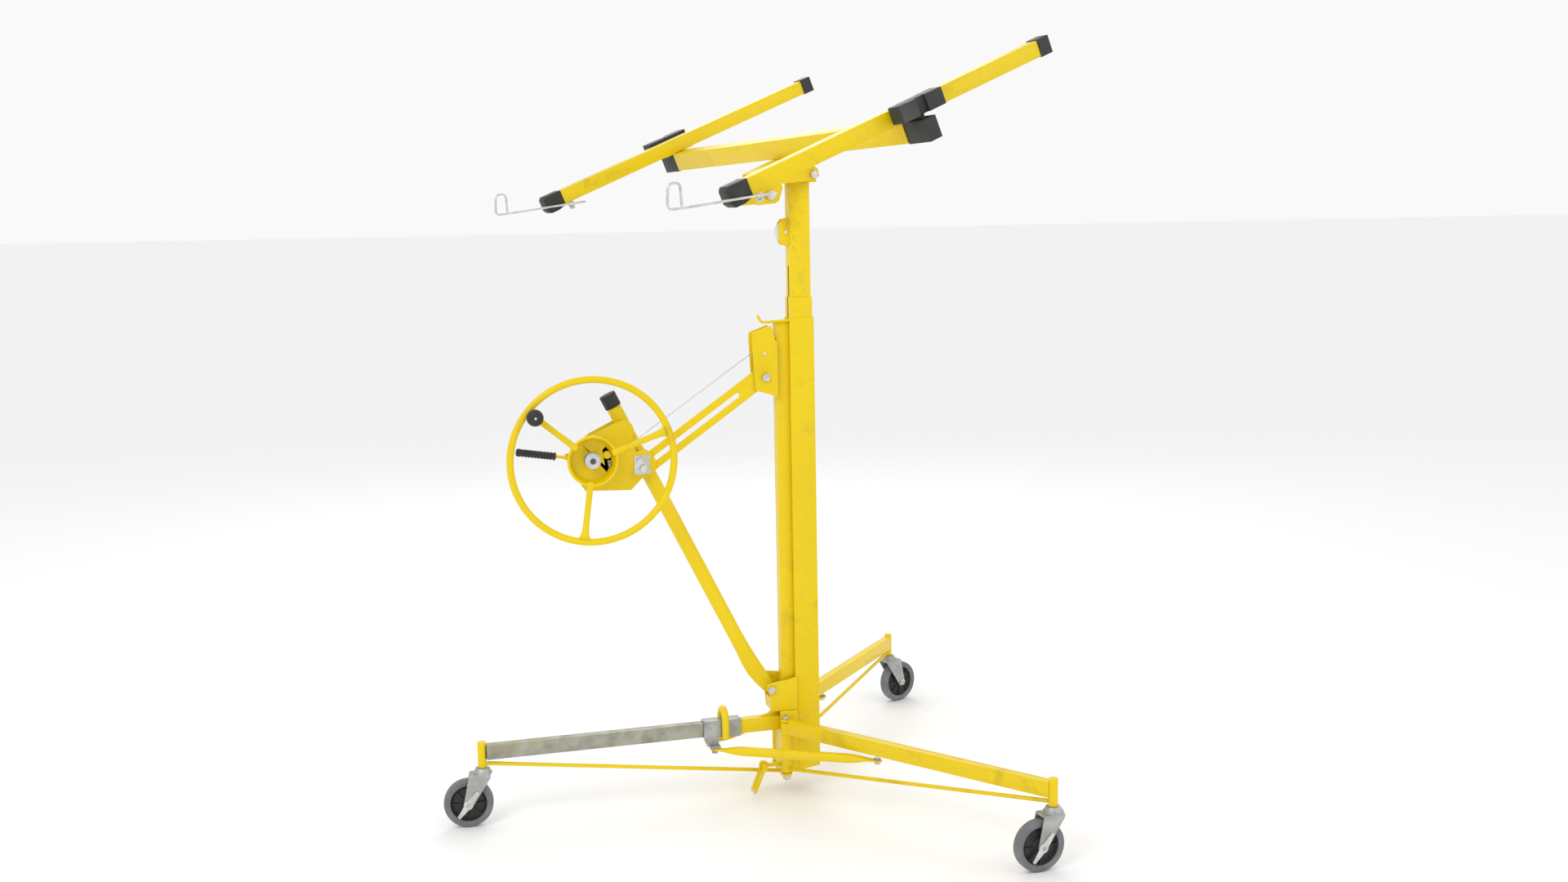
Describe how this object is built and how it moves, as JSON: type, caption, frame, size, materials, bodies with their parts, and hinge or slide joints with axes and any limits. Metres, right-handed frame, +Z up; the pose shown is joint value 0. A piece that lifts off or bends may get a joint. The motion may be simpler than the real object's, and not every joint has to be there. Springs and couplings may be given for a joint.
{
  "type": "drywall lift",
  "caption": "Yellow drywall lift: telescoping mast on folding caster legs, hand winch with steering wheel, and a tilting panel cradle",
  "frame": {"origin": "bottom centre of the bounding box, on the floor", "axes": "+Z up; +X from the winch side to the back; +Y to the right-hand leg"},
  "size_m": [1.5052, 1.4769, 1.9397],
  "materials": {
    "yellow_paint": "gloss powder coat",
    "bright_steel": "bright zinc plated",
    "zinc_steel": "dull zinc plated",
    "pulley_nylon": "white nylon",
    "black_plastic": "moulded, fine grain",
    "caster_rubber": "grey tread on a black wheel"
  },
  "bodies": {
    "base": {"outer_mast": "yellow_paint", "cable_channel": "yellow_paint", "brace_bracket": "yellow_paint", "carry_hook": "yellow_paint", "leg_hub": "yellow_paint", "post_bracket": "yellow_paint", "frame_bolts": "bright_steel", "fixed_leg_stub": "yellow_paint", "fixed_leg_tube": "zinc_steel", "fixed_leg_post": "yellow_paint", "fixed_leg_stay": "yellow_paint"},
    "stage_2": {"second_mast": "yellow_paint"},
    "stage_3": {"third_mast": "yellow_paint"},
    "head_pulley_body": {"head_pulley": "pulley_nylon"},
    "guide_pulley_body": {"guide_pulley": "pulley_nylon"},
    "turret_body": {"turret": "yellow_paint"},
    "cradle": {"cradle_bracket": "yellow_paint", "tilt_bolt": "bright_steel", "main_beam": "yellow_paint", "front_arm": "yellow_paint", "rear_arm": "yellow_paint", "arm_caps": "black_plastic", "hook_clips": "bright_steel", "outrigger_knobs": "yellow_paint"},
    "latch_pin": {"tilt_latch": "bright_steel"},
    "front_hook_body": {"front_hook": "bright_steel"},
    "rear_hook_body": {"rear_hook": "bright_steel"},
    "front_outrigger_body": {"front_outrigger": "black_plastic", "front_outrigger_tube": "zinc_steel"},
    "rear_outrigger_body": {"rear_outrigger": "black_plastic", "rear_outrigger_tube": "zinc_steel"},
    "winch_post_body": {"winch_post": "yellow_paint", "post_cap": "black_plastic", "winch_frame": "yellow_paint", "brace_clamp": "bright_steel"},
    "brace_body": {"slotted_brace": "yellow_paint"},
    "cable_run": {"lift_cable": "bright_steel"},
    "steering": {"steering_wheel": "yellow_paint", "wheel_hub": "yellow_paint", "cable_drum": "zinc_steel"},
    "knob_body": {"wheel_knob": "black_plastic"},
    "brake_lever_body": {"brake_lever": "yellow_paint", "brake_grip": "black_plastic"},
    "left_leg_body": {"left_leg": "yellow_paint", "left_leg_stay": "yellow_paint"},
    "right_leg_body": {"right_leg": "yellow_paint", "right_leg_stay": "yellow_paint"},
    "collar": {"slide_collar": "zinc_steel", "collar_handle": "yellow_paint"},
    "left_link_body": {"left_link": "yellow_paint"},
    "right_link_body": {"right_link": "yellow_paint"},
    "foot_latch": {"leg_latch": "yellow_paint"},
    "fixed_caster": {"fixed_caster_fork": "zinc_steel"},
    "left_caster": {"left_caster_fork": "zinc_steel"},
    "right_caster": {"right_caster_fork": "zinc_steel"},
    "fixed_wheel": {"fixed_caster_wheel": "caster_rubber"},
    "left_wheel": {"left_caster_wheel": "caster_rubber"},
    "right_wheel": {"right_caster_wheel": "caster_rubber"},
    "fixed_brake": {"fixed_caster_brake": "bright_steel"},
    "left_brake": {"left_caster_brake": "bright_steel"}
  },
  "joints": [
    {"name": "stage_2_slide", "type": "slide", "parent": "base", "child": "stage_2", "axis": [0, 0, 1], "range_m": [0, 0.8]},
    {"name": "stage_3_slide", "type": "slide", "parent": "stage_2", "child": "stage_3", "axis": [0, 0, 1], "range_m": [0, 0.8]},
    {"name": "head_pulley_spin", "type": "hinge", "parent": "stage_3", "child": "head_pulley_body", "pos_m": [0.1757, 0.006, 1.492], "axis": [0, 1, 0], "continuous": true},
    {"name": "guide_pulley_spin", "type": "hinge", "parent": "base", "child": "guide_pulley_body", "pos_m": [0.1087, -0.002, 1.182], "axis": [0, 1, 0], "continuous": true},
    {"name": "cradle_swivel", "type": "hinge", "parent": "stage_3", "child": "turret_body", "pos_m": [0.2147, 0.006, 1.618], "axis": [0, 0, 1], "continuous": true},
    {"name": "cradle_tilt", "type": "hinge", "parent": "turret_body", "child": "cradle", "pos_m": [0.23412, 0.01077, 1.637], "axis": [0.2385, -0.9711, 0], "range_deg": [-22.5, 32.5]},
    {"name": "tilt_latch_pull", "type": "slide", "parent": "cradle", "child": "latch_pin", "axis": [0.2385, -0.9711, 0], "range_m": [0, 0.01], "stiffness_N_per_m": 900},
    {"name": "front_hook_swing", "type": "hinge", "parent": "cradle", "child": "front_hook_body", "pos_m": [-0.04479, -0.65652, 1.58552], "axis": [-0.3716, -0.0913, 0.9239], "range_deg": [0, 75]},
    {"name": "front_outrigger_slide", "type": "slide", "parent": "cradle", "child": "front_outrigger_body", "axis": [0.2836, -0.9587, 0.0194], "range_m": [0, 0.33]},
    {"name": "rear_hook_swing", "type": "hinge", "parent": "cradle", "child": "rear_hook_body", "pos_m": [-0.3222, 0.47291, 1.58552], "axis": [-0.3716, -0.0913, 0.9239], "range_deg": [0, 75]},
    {"name": "rear_outrigger_slide", "type": "slide", "parent": "cradle", "child": "rear_outrigger_body", "axis": [-0.2836, 0.9587, -0.0194], "range_m": [0, 0.33]},
    {"name": "post_fold", "type": "hinge", "parent": "base", "child": "winch_post_body", "pos_m": [0.1107, 0.006, 0.288], "axis": [0, 1, 0], "range_deg": [0, 22]},
    {"name": "brace_swing", "type": "hinge", "parent": "base", "child": "brace_body", "pos_m": [0.1107, -0.02025, 1.121], "axis": [0, -1, 0], "range_deg": [0, 31.2]},
    {"name": "cable_swing", "type": "hinge", "parent": "base", "child": "cable_run", "pos_m": [0.1087, -0.002, 1.182], "axis": [0, -1, 0], "range_deg": [0, 13.6], "deforming": ["lift_cable"]},
    {"name": "winch_turn", "type": "hinge", "parent": "winch_post_body", "child": "steering", "pos_m": [-0.3517, -0.103, 0.9362], "axis": [0, 1, 0], "range_deg": [0, 1400]},
    {"name": "knob_spin", "type": "hinge", "parent": "steering", "child": "knob_body", "pos_m": [-0.49418, -0.109, 1.05576], "axis": [0, 1, 0], "continuous": true},
    {"name": "brake_lever_turn", "type": "hinge", "parent": "steering", "child": "brake_lever_body", "pos_m": [-0.3517, -0.068, 0.9362], "axis": [0, 1, 0], "range_deg": [0, 10], "stiffness_Nm_per_rad": 4},
    {"name": "left_leg_fold", "type": "hinge", "parent": "base", "child": "left_leg_body", "pos_m": [0.1437, -0.047, 0.13], "axis": [0, 0, -1], "range_deg": [0, 111.7]},
    {"name": "right_leg_fold", "type": "hinge", "parent": "base", "child": "right_leg_body", "pos_m": [0.1437, 0.059, 0.13], "axis": [0, 0, 1], "range_deg": [0, 113.59]},
    {"name": "collar_slide", "type": "slide", "parent": "base", "child": "collar", "axis": [-0.9992, -0.0401, 0], "range_m": [0, 0.5416]},
    {"name": "left_link_swing", "type": "hinge", "parent": "collar", "child": "left_link_body", "pos_m": [-0.04792, -0.03857, 0.144], "axis": [0, 0, 1], "range_deg": [0, 26.58]},
    {"name": "right_link_swing", "type": "hinge", "parent": "collar", "child": "right_link_body", "pos_m": [-0.05025, 0.01938, 0.144], "axis": [0, 0, -1], "range_deg": [0, 18.13]},
    {"name": "foot_latch_turn", "type": "hinge", "parent": "base", "child": "foot_latch", "pos_m": [0.0847, -0.032, 0.084], "axis": [0, 1, 0], "range_deg": [0, 45]},
    {"name": "fixed_caster_swivel", "type": "hinge", "parent": "base", "child": "fixed_caster", "pos_m": [-0.6516, -0.03379, 0.15], "axis": [0, 0, 1], "continuous": true},
    {"name": "fixed_wheel_spin", "type": "hinge", "parent": "fixed_caster", "child": "fixed_wheel", "pos_m": [-0.68949, -0.03088, 0.0625], "axis": [-0.0767, -0.9971, 0], "continuous": true},
    {"name": "fixed_brake_turn", "type": "hinge", "parent": "fixed_caster", "child": "fixed_brake", "pos_m": [-0.68949, -0.03088, 0.0625], "axis": [-0.0767, -0.9971, 0], "range_deg": [0, 25]},
    {"name": "left_caster_swivel", "type": "hinge", "parent": "left_leg_body", "child": "left_caster", "pos_m": [0.62837, -0.69724, 0.15], "axis": [0, 0, 1], "continuous": true},
    {"name": "left_wheel_spin", "type": "hinge", "parent": "left_caster", "child": "left_wheel", "pos_m": [0.59063, -0.70167, 0.0625], "axis": [0.1167, -0.9932, 0], "continuous": true},
    {"name": "left_brake_turn", "type": "hinge", "parent": "left_caster", "child": "left_brake", "pos_m": [0.59063, -0.70167, 0.0625], "axis": [0.1167, -0.9932, 0], "range_deg": [0, 25]},
    {"name": "right_caster_swivel", "type": "hinge", "parent": "right_leg_body", "child": "right_caster", "pos_m": [0.65628, 0.68748, 0.15], "axis": [0, 0, 1], "continuous": true},
    {"name": "right_wheel_spin", "type": "hinge", "parent": "right_caster", "child": "right_wheel", "pos_m": [0.69112, 0.70263, 0.0625], "axis": [-0.3987, 0.9171, 0], "continuous": true}
  ],
  "couplings": [
    {"joint": "winch_turn", "follows": "stage_3_slide", "rad_per_m": 30.3},
    {"joint": "brace_swing", "follows": "post_fold", "ratio": 1.3744},
    {"joint": "cable_swing", "follows": "post_fold", "ratio": 0.57143},
    {"joint": "right_leg_fold", "follows": "left_leg_fold", "ratio": 1.0079},
    {"joint": "collar_slide", "follows": "left_leg_fold", "m_per_rad": 0.27732},
    {"joint": "left_link_swing", "follows": "left_leg_fold", "ratio": 0.22904},
    {"joint": "right_link_swing", "follows": "left_leg_fold", "ratio": 0.15332}
  ]
}
